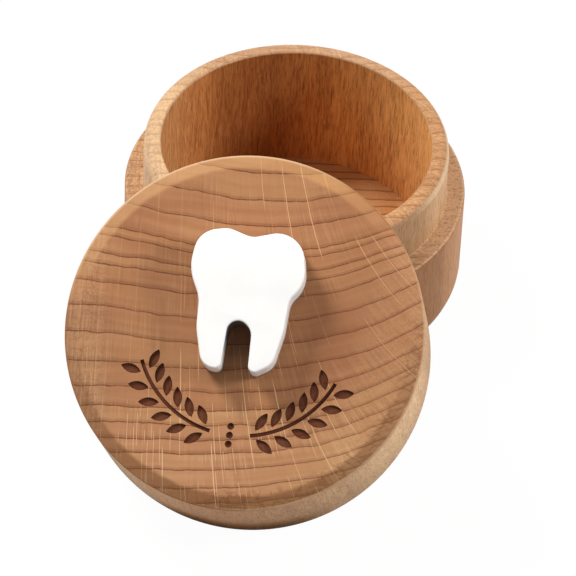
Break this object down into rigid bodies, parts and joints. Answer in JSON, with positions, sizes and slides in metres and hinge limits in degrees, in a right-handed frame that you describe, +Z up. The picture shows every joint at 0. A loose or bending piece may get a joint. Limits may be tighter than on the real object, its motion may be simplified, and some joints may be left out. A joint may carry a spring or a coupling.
{
  "type": "keepsake box",
  "caption": "Round turned wooden keepsake box for baby teeth; lid off and leaning on the collar, with a white tooth plaque on it.",
  "frame": {"origin": "centre of the pot's flat foot, on the surface the box stands on", "axes": "+Z up along the pot's turning axis; the lid leans against the pot's -Y side, its top facing -Y and up"},
  "size_m": [0.0672, 0.1074, 0.0523],
  "materials": {
    "pot_beech": "oiled end grain",
    "lid_beech": "oiled end grain",
    "tooth_white": "satin white"
  },
  "bodies": {
    "pot": {"pot": "pot_beech"},
    "lid": {"lid": "lid_beech", "tooth": "tooth_white"}
  },
  "joints": [
    {"name": "lid_lift", "type": "slide", "parent": "pot", "child": "lid", "axis": [0, 0, 1], "range_m": [0, 0.06]}
  ]
}
